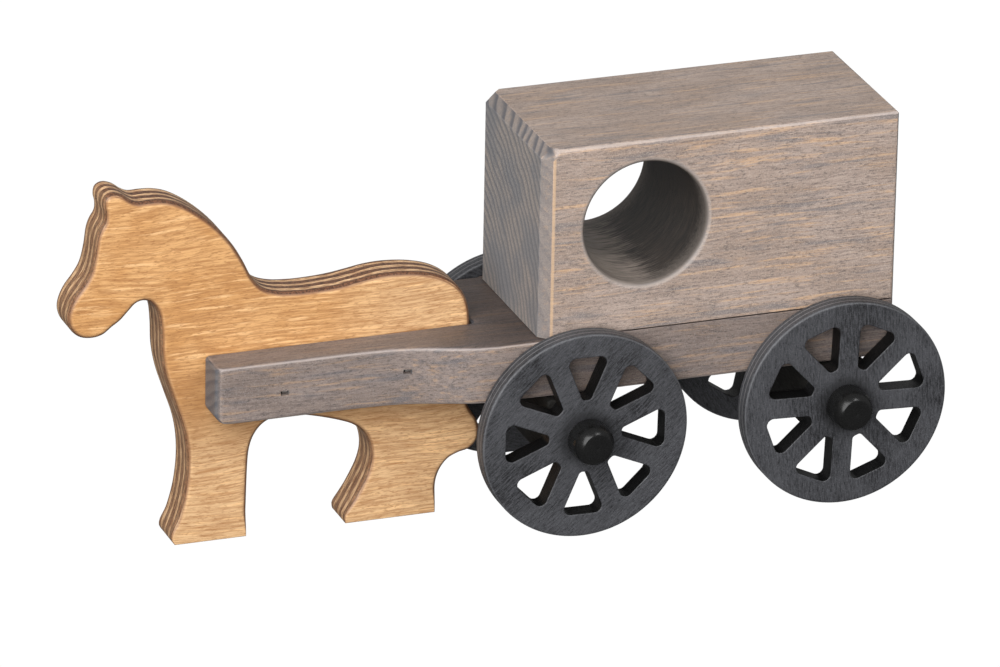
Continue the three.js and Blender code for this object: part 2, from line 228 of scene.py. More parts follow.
def within(place, loops):
    """Whether a point lies in the wood, by counting the sides to its right."""
    crossings = 0
    for loop in loops:
        ahead = np.roll(loop, -1, axis=0)
        spans = (loop[:, 1] > place[1]) != (ahead[:, 1] > place[1])
        start, stop = loop[spans], ahead[spans]
        share = (place[1] - start[:, 1]) / (stop[:, 1] - start[:, 1])
        crossings += int((start[:, 0] + share * (stop[:, 0] - start[:, 0]) > place[0]).sum())
    return crossings % 2 == 1


def cap_triangles(caps):
    """Triangles over a flat region, as numbers of the points round its edges."""
    flat, edges, numbers = [], [], []
    for first, n, loop in caps:
        start = len(flat)
        flat.extend(Vector(p) for p in loop)
        edges.extend((start + i, start + (i + 1) % n) for i in range(n))
        numbers.extend(range(first, first + n))
    made = geometry.delaunay_2d_cdt(flat, edges, [], WHOLE_HULL, SAME_POINT)
    sources = [numbers[found[0]] for found in made[3]]
    loops = [loop for _, _, loop in caps]
    kept = []
    for face in made[2]:
        if within(np.mean([made[0][i] for i in face], axis=0), loops):
            kept.append([sources[i] for i in face])
    return kept


def turned(profile, sides, ridge=None):
    """Points (u, v, w) and faces of a turned shape about w.

    The profile is (radius, w) from end to end, and both ends lie on the axis. ridge, if
    given, is a function of the angle and w that adds to the radius.
    """
    points, faces, rings = [], [], []
    for radius, w in profile:
        if radius == 0:
            rings.append([len(points)])
            points.append((0, 0, w))
            continue
        rings.append(list(range(len(points), len(points) + sides)))
        for i in range(sides):
            angle = 2 * math.pi * i / sides
            r = radius + (ridge(angle, w) if ridge else 0)
            points.append((r * math.cos(angle), r * math.sin(angle), w))
    for lower, upper in zip(rings, rings[1:]):
        for i in range(sides):
            j = (i + 1) % sides
            a, b = lower[i % len(lower)], lower[j % len(lower)]
            c, d = upper[j % len(upper)], upper[i % len(upper)]
            faces.append(tuple(dict.fromkeys((a, b, c, d))))
    return np.array(points, float), faces


# ---------------------------------------------------------------- pieces

# Where u, v and w of a shape lie in the row's frame.
CROSSWISE = (0, 2, 1)  # u is x, v is z and w is y
UPRIGHT = (0, 1, 2)

ALONG_Y = Matrix(((0, 1, 0), (1, 0, 0), (0, 0, 1)))  # grain that runs across the toy
SHARP_ANGLE = math.radians(38)
WELD = 1e-7  # metres; points closer than this are one
PAST = 5.0  # how far a cutter runs past the face that it opens


def placed(points, way, at=(0, 0, 0)):
    made = np.zeros_like(points)
    for source, target in enumerate(way):
        made[:, target] = points[:, source]
    return made + np.array(at, float)


def object_of(name, points, faces):
    """A new object from points in millimetres, with its faces pointing out."""
    mesh = bpy.data.meshes.new(name)
    mesh.from_pydata([tuple(p * MM) for p in points], [], [list(f) for f in faces])
    work = bmesh.new()
    work.from_mesh(mesh)
    bmesh.ops.remove_doubles(work, verts=work.verts, dist=WELD)
    bmesh.ops.recalc_face_normals(work, faces=work.faces)
    work.to_mesh(mesh)
    work.free()
    made = bpy.data.objects.new(name, mesh)
    bpy.context.scene.collection.objects.link(made)
    return made


def box_between(name, low, high):
    corners = np.array(list(itertools.product(*zip(low, high))), float)
    faces = [(0, 1, 3, 2), (4, 6, 7, 5), (0, 4, 5, 1), (2, 3, 7, 6), (0, 2, 6, 4), (1, 5, 7, 3)]
    return object_of(name, corners, faces)


def carve(obj, cutters):
    """Cuts the cutters out of obj, and removes them."""
    for cutter in cutters:
        cut = obj.modifiers.new("cut", "BOOLEAN")
        cut.operation = "DIFFERENCE"
        cut.solver = "EXACT"
        cut.object = cutter
    bpy.context.view_layer.update()
    result = obj.evaluated_get(bpy.context.evaluated_depsgraph_get())
    mesh = bpy.data.meshes.new_from_object(result)
    obj.modifiers.clear()
    obj.data = mesh
    for cutter in cutters:
        bpy.data.objects.remove(cutter)


def finish_piece(obj, material, body, slot, *nodes, grain=Matrix.Identity(3), origin=(0, 0, 0)):
    """Shades a piece, stores its place in the wood, and hands it to the frame.

    The wood's own x is along its grain. grain turns the row's axes into the wood's.
    """
    mesh = obj.data
    mesh.shade_smooth()
    mesh.set_sharp_from_angle(angle=SHARP_ANGLE)
    co = np.zeros(len(mesh.vertices) * 3, np.float32)
    mesh.vertices.foreach_get("co", co)
    inside = (co.reshape(-1, 3) / MM - np.array(origin)) @ np.array(grain).T
    mesh.attributes.new("wood", "FLOAT_VECTOR", "POINT").data.foreach_set(
        "vector", inside.astype(np.float32).ravel()
    )
    mesh.materials.clear()
    mesh.materials.append(material)
    obj.modifiers.new("normals", "WEIGHTED_NORMAL").keep_sharp = True
    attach(obj, body)
    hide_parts(*nodes)
    return obj


# ---------------------------------------------------------------- materials

SEED_STEP = (17.3, 5.1, 9.7)  # how far apart two seeds of the same noise lie


class Shader:
    """A material, with short ways to add its nodes."""

    def __init__(self, name, roughness, specular, metallic=0.0):
        self.material = bpy.data.materials.new(name)
        self.material.use_nodes = True
        self.tree = self.material.node_tree
        self.surface = self.tree.nodes["Principled BSDF"]
        self.set("Roughness", roughness)
        self.set("Specular IOR Level", specular)
        self.set("Metallic", metallic)

    def set(self, socket, value):
        self.join(value, self.surface.inputs[socket])

    def join(self, value, socket):
        if isinstance(value, bpy.types.NodeSocket):
            self.tree.links.new(value, socket)
        else:
            socket.default_value = value

    def node(self, kind, inputs, **settings):
        made = self.tree.nodes.new("ShaderNode" + kind)
        for key, value in settings.items():
            setattr(made, key, value)
        for key, value in inputs.items():
            self.join(value, made.inputs[key])
        return made

    def wood(self):
        """The point's place in the wood, in millimetres, with x along the grain."""
        return self.node("Attribute", {}, attribute_name="wood").outputs["Vector"]

    def parts(self, vector):
        return tuple(self.node("SeparateXYZ", {0: vector}).outputs)

    def normal(self):
        return self.parts(self.node("TexCoord", {}).outputs["Normal"])

    def math(self, operation, *values):
        return self.node("Math", dict(enumerate(values)), operation=operation).outputs[0]

    def plus(self, first, second):
        return self.math("ADD", first, second)

    def minus(self, first, second):
        return self.math("SUBTRACT", first, second)

    def times(self, first, second):
        return self.math("MULTIPLY", first, second)

    def size(self, value):
        return self.math("ABSOLUTE", value)

    def reach(self, first, second):
        """The distance from (0, 0) to (first, second)."""
        return self.math("SQRT", self.plus(self.times(first, first), self.times(second, second)))

    def shifted(self, vector, y, z):
        shift = self.node("CombineXYZ", {1: y, 2: z}).outputs[0]
        return self.node("VectorMath", {0: vector, 1: shift}, operation="ADD").outputs[0]

    def noise(self, vector, factors, detail=2.0, rough=0.5, seed=0):
        """Smooth noise whose patches are 1 / factors millimetres long each way."""
        inputs = {0: vector, 1: factors, 2: tuple(seed * step for step in SEED_STEP)}
        place = self.node("VectorMath", inputs, operation="MULTIPLY_ADD").outputs[0]
        inputs = {"Vector": place, "Scale": 1.0, "Detail": detail, "Roughness": rough}
        return self.node("TexNoise", inputs).outputs["Fac"]

    def between(self, value, low, high, to_low=0.0, to_high=1.0):
        """An easy slope from to_low, where value is low, to to_high, where it is high."""
        inputs = {0: value, 1: low, 2: high, 3: to_low, 4: to_high}
        return self.node("MapRange", inputs, interpolation_type="SMOOTHSTEP").outputs[0]

    def mix(self, factor, first, second, blend="MIX"):
        inputs = {0: factor, 6: colour(first), 7: colour(second)}
        return self.node("Mix", inputs, data_type="RGBA", blend_type=blend).outputs[2]

    def rounded_edges(self):
        """1 on the rounded edges of a squared piece, and 0 on its faces."""
        x, y, z = (self.size(part) for part in self.normal())
        most = self.math("MAXIMUM", x, self.math("MAXIMUM", y, z))
        return self.between(most, 0.80, 0.94, 1.0, 0.0)

    def bump(self, height, distance):
        inputs = {"Strength": 1.0, "Distance": distance * MM, "Height": height}
        self.set("Normal", self.node("Bump", inputs).outputs[0])


def colour(value):
    return (*value, 1.0) if isinstance(value, tuple) and len(value) == 3 else value


def times_colour(value, factor):
    return tuple(channel * factor for channel in value)


# The grey-brown stain on the cabin and the board
STAIN_ROUGHNESS = 0.5
STAIN_SPECULAR = 0.4
STAIN_BROWN, STAIN_FAWN = (0.330, 0.250, 0.204), (0.395, 0.310, 0.264)
STAIN_HAIR = (0.165, 0.128, 0.112)
STAIN_TAN = (0.590, 0.375, 0.220)
STAIN_SLATE = (0.150, 0.146, 0.156)
STAIN_FLECK = (0.105, 0.086, 0.080)
STAIN_SPECK = (0.590, 0.500, 0.430)
STAIN_EDGE_HIGHLIGHT = (0.470, 0.410, 0.385)
SLOPE_GREY, SLOPE_STRIPE = (0.120, 0.110, 0.108), (0.075, 0.078, 0.090)
END_GREY, END_BUFF = (0.238, 0.228, 0.226), (0.325, 0.284, 0.254)
END_LATE, END_PORE = (0.120, 0.126, 0.146), (0.110, 0.106, 0.110)
RING_WIDTH = 3.1
CABIN_RINGS = (-52.0, 41.0)  # y and z of the tree's heart, outside each block
BOARD_RINGS = (40.0, -10.0)
BOARD_TINT = (0.62, 0.635, 0.67)


def stained_wood(name, ring_centre, local_stain_and_shade, tint=(1.0, 1.0, 1.0)):
    """Solid wood under a thin grey-brown stain, with tan and blue-grey streaks.

    The third argument is a function that adds what the stain does in one place on the piece, and the
    painted light and shade there.
    """
    s = Shader(name, STAIN_ROUGHNESS, STAIN_SPECULAR)
    wood = s.wood()
    normal = s.normal()
    sway = s.noise(wood, (0.02, 0.08, 0.08), 1.0)
    lift = s.times(s.minus(sway, 0.5), 3.0)
    bent = s.shifted(wood, lift, lift)
    cloud = s.noise(bent, (0.03, 0.09, 0.09), 2.0, seed=1)
    hair = s.noise(bent, (0.09, 1.7, 1.7), 4.0, 0.7, seed=2)
    fleck = s.noise(bent, (0.60, 2.6, 2.6), 2.0, 0.6, seed=3)
    tan = s.noise(bent, (0.040, 0.8, 0.8), 3.0, 0.6, seed=4)
    slate = s.noise(bent, (0.035, 0.45, 0.45), 3.0, 0.6, seed=5)
    speck = s.noise(wood, (3.4, 3.4, 3.4), 2.0, 0.6, seed=6)
    side = s.mix(s.between(cloud, 0.35, 0.65), STAIN_BROWN, STAIN_FAWN)
    side = s.mix(s.between(hair, 0.34, 0.60, 0.62, 0.0), side, STAIN_HAIR)
    streaks = s.times(s.between(tan, 0.53, 0.68, 0.0, 0.66), s.between(normal[2], 0.6, 0.9, 1.0, 0.62))
    side = s.mix(streaks, side, STAIN_TAN)
    side = s.mix(s.between(slate, 0.54, 0.68, 0.0, 0.60), side, STAIN_SLATE)
    side = s.mix(s.between(fleck, 0.33, 0.48, 0.66, 0.0), side, STAIN_FLECK)
    side = s.mix(s.between(speck, 0.48, 0.68, 0.0, 0.36), side, STAIN_SPECK)
    ends, late = end_grain(s, wood, sway, ring_centre)
    along = s.size(normal[0])
    made = s.mix(s.between(along, 0.50, 0.90), side, ends)
    # the sloped edges at the ends, where the growth rings show as dark stripes
    slope = s.times(s.between(along, 0.50, 0.66), s.between(along, 0.76, 0.92, 1.0, 0.0))
    made = s.mix(s.times(slope, 0.30), made, SLOPE_GREY)
    stripe = s.times(s.times(slope, late), s.between(normal[2], 0.3, 0.6))
    made = s.mix(s.times(stripe, 0.75), made, SLOPE_STRIPE)
    made = s.mix(1.0, made, tint, "MULTIPLY")
    # painted highlight along the rounded edges, fading towards the sawn ends
    edge_highlight = s.times(s.rounded_edges(), s.between(along, 0.35, 0.60, 0.42, 0.0))
    made = s.mix(edge_highlight, made, STAIN_EDGE_HIGHLIGHT)
    s.set("Base Color", local_stain_and_shade(s, wood, normal, made))
    s.bump(s.plus(hair, fleck), 0.05)
    return s.material


def end_grain(s, wood, sway, ring_centre):
    """The growth rings and open pores on a sawn end, and where the dark late wood is."""
    _, y, z = s.parts(wood)
    radius = s.reach(s.minus(y, ring_centre[0]), s.minus(z, ring_centre[1]))
    wavy = s.plus(radius, s.times(sway, 4.0))
    ring = s.math("FRACT", s.math("DIVIDE", wavy, RING_WIDTH))
    late = s.times(s.between(ring, 0.25, 0.75), s.between(ring, 0.80, 1.0, 1.0, 0.0))
    pores = s.noise(wood, (0.4, 2.4, 2.4), 3.0, 0.7, seed=7)
    blotch = s.noise(wood, (0.05, 0.07, 0.07), 2.0, seed=8)
    made = s.mix(s.between(blotch, 0.35, 0.65), END_GREY, END_BUFF)
    made = s.mix(s.times(late, 0.66), made, END_LATE)
    return s.mix(s.between(pores, 0.34, 0.60, 0.45, 0.0), made, END_PORE), late


BORE_BLACK, BORE_BROWN = (0.005, 0.004, 0.003), (0.026, 0.019, 0.014)
BORE_SILL_LIGHT, BORE_MOUTH_LIGHT = (0.400, 0.335, 0.285), (0.165, 0.140, 0.122)
WINDOW_RIM_HIGHLIGHT = (0.37, 0.335, 0.315)
BARE_LINE = (0.640, 0.430, 0.265)


def window_stain_and_shade(s, wood, normal, base):
    """The window's bore, dark end grain deepened with painted shade and with painted light on its lower
    wall and at its mouth, a painted highlight round its rim, and the bare front corners.
    """
    x, y, z = s.parts(wood)
    radius = s.reach(s.minus(x, WINDOW[0]), s.minus(z, WINDOW[2]))
    # painted highlight round the window's rim
    rim_highlight = s.between(radius, WINDOW_RADIUS + 1.9, WINDOW_RADIUS + 1.1, 0.0, 0.42)
    base = s.mix(rim_highlight, base, WINDOW_RIM_HIGHLIGHT)
    line = s.size(s.minus(x, CABIN_FRONT - FRONT_CHAMFER - 0.3))
    line = s.times(s.between(line, 0.2, 0.7, 0.6, 0.0), s.between(normal[1], 0.7, 0.9))
    base = s.mix(line, base, BARE_LINE)
    # the bore: dark end grain, deepened with painted shade
    bore_mottle = s.noise(wood, (0.16, 1.5, 0.16), 3.0, 0.65, seed=11)
    bore = s.mix(s.between(bore_mottle, 0.38, 0.66), BORE_BLACK, BORE_BROWN)
    # painted light on the lower front wall of the bore
    lower_front = s.minus(s.times(normal[2], 0.8), s.times(normal[0], 0.55))
    bore = s.mix(s.between(s.plus(lower_front, bore_mottle), 1.00, 1.60, 0.0, 0.80), bore, BORE_SILL_LIGHT)
    # painted light near the mouth, so that the bore darkens inwards
    rough = s.noise(wood, (1.1, 1.1, 1.1), 3.0, 0.7, seed=12)
    mouth = s.plus(s.size(y), s.times(rough, 9.0))
    bore = s.mix(s.between(mouth, 23.0, 31.0, 0.0, 0.62), bore, BORE_MOUTH_LIGHT)
    inside = s.between(radius, WINDOW_RADIUS + 1.3, WINDOW_RADIUS + 0.05, 0.0, 0.94)
    return s.mix(inside, base, bore)


FOOT_PAINTED_SHADE = (0.250, 0.215, 0.205)


def foot_painted_shade(s, wood, normal, base):
    """Painted shade on the board's top, darker towards the cabin's foot."""
    foot = s.between(s.parts(wood)[0], CABIN_FRONT + 46, CABIN_FRONT + 4, 0.10, 0.78)
    above = s.between(normal[2], 0.6, 0.9)
    return s.mix(s.times(foot, above), base, FOOT_PAINTED_SHADE, "MULTIPLY")


# Birch plywood
PLY_ROUGHNESS = 0.42
PLY_SPECULAR = 0.4
PLY_FACE = 0.45  # thickness of the two face veneers
HORSE_PLIES = 9
BIRCH_HONEY, BIRCH_CREAM = (0.550, 0.285, 0.108), (0.655, 0.370, 0.158)
BIRCH_WASHED = (0.700, 0.490, 0.290)
BIRCH_HAIR, BIRCH_GOLD = (0.340, 0.158, 0.058), (0.900, 0.575, 0.290)
BIRCH_VEIN, BIRCH_FLECK = (0.380, 0.175, 0.062), (0.280, 0.120, 0.040)
BIRCH_SHADED = (0.300, 0.145, 0.058)
BIRCH_BURNT = (0.190, 0.085, 0.040)
PLY_LIGHT = ((0.270, 0.125, 0.055), (0.820, 0.540, 0.300))
PLY_DARK = ((0.055, 0.024, 0.013), (0.185, 0.082, 0.042))
PLY_GLUE = (0.080, 0.036, 0.022)


def birch_ply(name):
    """Golden birch plywood: flecked faces, and layers that turn light and dark by turns."""
    s = Shader(name, PLY_ROUGHNESS, PLY_SPECULAR)
    wood = s.wood()
    normal = s.normal()
    x, y, z = s.parts(wood)
    sway = s.noise(wood, (0.02, 0.03, 0.03), 1.0)
    bent = s.shifted(wood, 0.0, s.times(s.minus(sway, 0.5), 6.0))
    mottle = s.noise(wood, (0.09, 0.05, 0.09), 2.0, seed=1)
    hair = s.noise(bent, (0.12, 0.5, 1.9), 4.0, 0.7, seed=2)
    fleck = s.noise(bent, (0.55, 1.0, 2.9), 2.0, 0.6, seed=3)
    gold = s.noise(bent, (0.07, 0.3, 0.85), 3.0, 0.6, seed=4)
    vein = s.noise(bent, (0.06, 0.3, 0.95), 3.0, 0.6, seed=5)
    face = s.mix(s.between(mottle, 0.36, 0.64), BIRCH_HONEY, BIRCH_CREAM)
    # paler at the rump and on the legs
    washed = s.math("MAXIMUM", s.between(x, 62.0, 22.0), s.between(z, 46.0, 26.0))
    face = s.mix(s.times(washed, 0.60), face, BIRCH_WASHED)
    face = s.mix(s.between(hair, 0.36, 0.62, 0.68, 0.0), face, BIRCH_HAIR)
    face = s.mix(s.between(gold, 0.54, 0.70, 0.0, 0.60), face, BIRCH_GOLD)
    face = s.mix(s.between(vein, 0.57, 0.70, 0.0, 0.60), face, BIRCH_VEIN)
    face = s.mix(s.between(fleck, 0.33, 0.46, 0.55, 0.0), face, BIRCH_FLECK)
    # painted shadow of the shafts, darker just below them
    shaded = s.times(s.between(z, 24.0, 42.0), s.between(z, 58.0, 50.0))
    face = s.mix(s.times(shaded, 0.40), face, BIRCH_SHADED)
    edge = ply_edge(s, wood, normal)
    flat = s.size(normal[1])
    glue_line = HORSE_HALF - PLY_FACE
    veneer = s.between(s.size(y), glue_line - 0.12, glue_line + 0.06)
    # the router's burn round the face, strongest on the back of the outline
    burn = s.times(s.between(flat, 0.82, 0.996, 1.0, 0.0), s.between(normal[0], -0.30, 0.12, 0.95, 0.70))
    burnt = s.mix(burn, face, BIRCH_BURNT)
    shows = s.math("MAXIMUM", s.between(flat, 0.93, 0.99), s.times(veneer, 0.9))
    s.set("Base Color", s.mix(shows, edge, burnt))
    s.bump(s.plus(hair, fleck), 0.03)
    return s.material


def ply_edge(s, wood, normal):
    """The plies at a cut edge: dark where a ply shows its end grain."""
    core = (2 * HORSE_HALF - 2 * PLY_FACE) / (HORSE_PLIES - 2)
    counted = s.math("DIVIDE", s.plus(s.parts(wood)[1], core / 2), core)
    waver = s.noise(wood, (0.09, 0.3, 0.09), 3.0, 0.6)
    counted = s.plus(counted, s.times(s.minus(waver, 0.5), 0.85))
    across = s.math("PINGPONG", s.math("FLOOR", counted), 1.0)
    share = s.math("FRACT", counted)
    steep = s.between(s.size(normal[0]), 0.35, 0.95, 0.0, 0.22)
    ends = s.size(s.minus(across, steep))
    pores = s.noise(wood, (1.6, 1.2, 1.6), 3.0, 0.7, seed=9)
    lengthwise = s.noise(wood, (0.25, 2.5, 0.25), 3.0, 0.6, seed=10)
    light = s.mix(s.between(lengthwise, 0.35, 0.65), *PLY_LIGHT)
    dark = s.mix(s.between(pores, 0.36, 0.62), *PLY_DARK)
    made = s.mix(ends, light, dark)
    glue = s.math("MINIMUM", share, s.minus(1.0, share))
    return s.mix(s.between(glue, 0.02, 0.11, 0.7, 0.0), made, PLY_GLUE)


# Black-stained wood
BLACK_SPECULAR = 0.28
BLOCK_BLACKS = ((0.005, 0.0045, 0.004), (0.012, 0.011, 0.009))
WHEEL_BLACKS = ((0.009, 0.009, 0.010), (0.062, 0.063, 0.069))
CAP_BLACKS = ((0.004, 0.004, 0.004), (0.008, 0.008, 0.008))


def plain(s, wood, base):
    return base


def black_wood(name, roughness, blacks, relief, local_stain_and_shade=plain):
    """Wood under a black stain, with its grain just showing."""
    dark, pale = blacks
    s = Shader(name, roughness, BLACK_SPECULAR)
    wood = s.wood()
    grain = s.noise(wood, (0.28, 1.9, 1.9), 3.0, 0.65)
    cloud = s.noise(wood, (0.045, 0.07, 0.07), 2.0, seed=1)
    fleck = s.noise(wood, (0.7, 3.2, 3.2), 2.0, 0.6, seed=2)
    speck = s.noise(wood, (2.6, 2.6, 2.6), 2.0, 0.6, seed=3)
    made = s.mix(s.between(grain, 0.30, 0.70), dark, pale)
    made = s.mix(s.between(cloud, 0.34, 0.66, 0.0, 0.5), made, times_colour(pale, 1.3))
    made = s.mix(s.between(fleck, 0.32, 0.46, 0.6, 0.0), made, times_colour(dark, 0.6))
    made = s.mix(s.between(speck, 0.52, 0.70, 0.0, 0.35), made, times_colour(pale, 2.2))
    s.set("Base Color", local_stain_and_shade(s, wood, made))
    s.set("Roughness", s.between(grain, 0.3, 0.7, roughness + 0.08, roughness - 0.05))
    s.bump(s.plus(grain, fleck), relief)
    return s.material


WHEEL_PLY = 2.1
HOLLOW_SHADE = (0.0015, 0.0015, 0.0015)
TREAD_LINE = (0.230, 0.225, 0.230)
CORNER_HIGHLIGHT = (0.170, 0.172, 0.182)
HUB_SHADE = (0.006, 0.006, 0.006)


def wheel_stain_and_shade(s, wood, base):
    """Painted shade, nearly black, in the openings, pale ply lines round the tread, a painted highlight on
    the outer corner and painted shade round the hub.
    """
    u, v, depth = s.parts(wood)
    radius = s.reach(u, v)
    outward = s.size(s.normal()[1])
    tread = s.between(radius, WHEEL_RADIUS - 2.5, WHEEL_RADIUS - 1.4)
    across = s.between(outward, 0.35, 0.75, 1.0, 0.0)
    # painted shade, nearly black, on the walls of the openings
    hollow = s.times(across, s.minus(1.0, tread))
    base = s.mix(s.times(hollow, 0.97), base, HOLLOW_SHADE)
    line = s.math("PINGPONG", s.plus(depth, WHEEL_PLY / 2), WHEEL_PLY / 2)
    lines = s.times(s.between(line, 0.05, 0.22, 0.85, 0.0), s.times(across, tread))
    base = s.mix(lines, base, TREAD_LINE)
    # painted highlight on the wheel's outer corner
    corner = s.times(s.between(outward, 0.35, 0.65), s.between(outward, 0.80, 0.97, 1.0, 0.0))
    base = s.mix(s.times(s.times(corner, tread), 0.30), base, CORNER_HIGHLIGHT)
    # painted shade round the hub, next to the cap
    return s.mix(s.between(radius, 11.0, 6.0, 0.0, 0.65), base, HUB_SHADE)


STEEL_DARK, STEEL_BRIGHT = (0.42, 0.41, 0.40), (0.72, 0.71, 0.69)


def steel(name):
    """Drawn steel wire, with fine streaks along it."""
    s = Shader(name, 0.38, 0.5, metallic=1.0)
    streak = s.noise(s.wood(), (0.6, 5.0, 5.0), 3.0)
    s.set("Base Color", s.mix(s.between(streak, 0.35, 0.65), STEEL_DARK, STEEL_BRIGHT))
    s.set("Roughness", s.between(streak, 0.3, 0.7, 0.45, 0.28))
    s.bump(streak, 0.02)
    return s.material


birch = birch_ply("birch_plywood")
stain = stained_wood("grey_stained_wood", CABIN_RINGS, window_stain_and_shade)
board_stain = stained_wood("grey_stained_board", BOARD_RINGS, foot_painted_shade, BOARD_TINT)
block_black = black_wood("dark_stained_wood", 0.75, BLOCK_BLACKS, relief=0.05)
wheel_black = black_wood("black_wheel_plywood", 0.44, WHEEL_BLACKS, 0.09, wheel_stain_and_shade)
cap_black = black_wood("black_turned_cap", 0.24, CAP_BLACKS, relief=0.006)
bare_steel = steel("bare_steel")

# ---------------------------------------------------------------- holes for the fasteners

SHAFT_BRADS = [f"shaft_brad_{a}_{s}" for a in AXLES for s in SIDES]
BLOCK_BRADS = [f"block_brad_{a}_{s}" for a in AXLES for s in SIDES]
SCREWS = [f"cabin_screw_{a}" for a in AXLES]
ACROSS, UP = 1, 2  # the axes that shaft brads and block brads lie along
BRAD_PLAY = 0.15
BRAD_SLIP = 0.7  # the shaft's brad holes are longer than the brads, forwards
BRAD_HOLE_REACH = 4.0
SCREW_HOLE_SIDES = 48
SCREW_HOLE_RADIUS = 2.4
SCREW_PLAY = 0.25


def brad_cutters(names, axis):
    """Boxes for brads: each is the brad's own box, run out past the wood along the axis."""
    cutters = []
    for name in names:
        low, high = span(name)
        low, high = low - BRAD_PLAY, high + BRAD_PLAY
        if axis == ACROSS:
            high[0] += BRAD_SLIP
        if axis == ACROSS and middle(name)[1] > 0:
            high[axis] += BRAD_HOLE_REACH
        else:
            low[axis] -= BRAD_HOLE_REACH
        cutters.append(box_between("cutter", low, high))
    return cutters


def screw_cutter(name):
    """The countersunk hole for a screw, open below."""
    low, high = span(name)
    centre = (low + high) / 2
    head = (high[0] - low[0]) / 2 + SCREW_PLAY
    depth = low[2] - BOARD_LOW[2]
    length = high[2] - low[2]
    profile = [
        (0, -4.0),
        (head + 0.5, -4.0),
        (head + 0.5, -depth - 0.01),
        (head, 0.4),
        (SCREW_HOLE_RADIUS, 3.7),
        (SCREW_HOLE_RADIUS, length - 4),
        (0, length + 0.3),
    ]
    points, faces = turned(profile, SCREW_HOLE_SIDES)
    return object_of("cutter", placed(points, UPRIGHT, (centre[0], centre[1], low[2])), faces)


# ---------------------------------------------------------------- horse

HORSE_SPACING = 0.9
HORSE_EDGE = 1.8
SOLE_EDGE = 0.35
SOLE_RISE = 8.0  # how far up the legs the edge grows to its full rounding

# The outline, x forward of the front axle and z above the ground, in two smooth runs that
# meet at the flat soles.
TOPLINE = [
    (36, SOLE_Z), (35.8, 5), (35.5, 10), (34.2, 13.7), (31.8, 16.6), (28.6, 18.1), (25.4, 18.9),
    (22.9, 21.3), (22.2, 24.8), (23.2, 28.6), (25.6, 32.4), (26.6, 37), (25.9, 44), (25.7, 51),
    (25.7, 58), (26.1, 63.5), (27.4, 68.1), (29.6, 71.3), (32.5, 73.7), (36.2, 75.6), (40.6, 76.9),
    (45.5, 77.7), (51, 78), (56, 77.7), (61, 76.9), (66.5, 76.1), (72.5, 75.7), (79, 75.7),
    (85.4, 76.4), (90.3, 78.3), (93.6, 82.2), (96.1, 87.2), (99, 92.2), (102.7, 97), (107.3, 101.6),
    (112.2, 105.4), (116.8, 108), (120.9, 109.2), (124.8, 109.5), (128.3, 109.5), (130.7, 110.5),
    (133.3, 112.4), (136.2, 113.2), (138.4, 112.1), (138.9, 109.7), (138.4, 107.2), (138.6, 104.6),
    (140, 102.2), (141, 99.3), (141.7, 94.2), (143, 89), (145.1, 85.4), (147.6, 82.1), (149.3, 78.5),
    (149.7, 75.2), (148.5, 71.8), (145.8, 69.4), (142.2, 68.7), (138.9, 69.4), (136.2, 71.4),
    (133.5, 73.3), (131, 75.9), (128.7, 78.1), (126, 78.5), (123.6, 77), (122, 73.5), (121.4, 68),
    (121.1, 60.5), (119.7, 53.2), (117, 45), (114.6, 37.8), (113.4, 31.5), (113.1, 25.2), (113.5, 19.4),
    (114.4, 14), (116, 8.2), (117.6, 4.2), (117.8, 1.8), (116.8, SOLE_Z),
]
BELLY = [
    (94.8, SOLE_Z), (94.6, 10), (94.3, 21), (93.8, 27.5), (92.3, 32), (89.6, 35.2), (86, 36.7),
    (82, 36.9), (77, 36.2), (71, 34.7), (65.4, 32.9), (61.4, 31.1), (58.3, 28.2), (56.6, 24.5),
    (56.2, 20), (57.3, 15.4), (59.6, 10.6), (62.3, 5.8), (64.1, 2.4), (63.9, SOLE_Z),
]


def horse_loop():
    """The closed outline, with the wood on its left."""
    runs = []
    for start, stop in ((TOPLINE, BELLY), (BELLY, TOPLINE)):
        runs.append(even(spline(start), HORSE_SPACING)[:-1])
        runs.append(even(np.array([start[-1], stop[0]], float), HORSE_SPACING)[:-1])
    loop = np.vstack(runs)[::-1]
    return loop + np.array([AXLE_X["front"], 0])


def make_horse():
    loop = horse_loop()
    share = np.clip((loop[:, 1] - SOLE_Z - 0.5) / SOLE_RISE, 0, 1)
    size = SOLE_EDGE + (HORSE_EDGE - SOLE_EDGE) * share * share * (3 - 2 * share)
    points, faces = prism([loop], HORSE_LOW[1], HORSE_HIGH[1], [size], [size])
    horse = object_of("horse_cutout", placed(points, CROSSWISE), faces)
    carve(horse, brad_cutters(SHAFT_BRADS, ACROSS))
    finish_piece(horse, birch, "root", "birch_plywood", "horse")


make_horse()

# ---------------------------------------------------------------- chassis board

BOARD_EDGE = 1.2
COVERED_EDGE = 0.12  # the top edge under the cabin
EDGE_GROWTH = (0.4, 1.2)  # it starts to grow this far behind the cabin's front, over this length
BOARD_LEVELS = 8
BOARD_SPACING = 1.0
SHOULDER_SPACING = 2.0
CORNER = BOARD_EDGE + SUPPORT + 0.05  # seen from above, just round enough to leave its edges room
SHAFT_CORNER = 2.4
SLOT_CORNER = 1.0
SHAFT_HALF_WIDTH = 18.8
SLOT_HALF_WIDTH = HORSE_HALF + 0.3
SLOT_END = 25.0
TIP_CHAMFER = 2.0
TIP_SOFTNESS = 0.9
TIP_DEPTH = 9.0  # how far up the wood the sloped corner is felt

# The board draws in from its full width to the shafts: x forward of the front axle, and y.
SHOULDER = [(24, 26.7), (30, 26), (35, 24.7), (40, 23), (46, 21.2), (53, 19.7), (62, 19), (72, 18.8)]


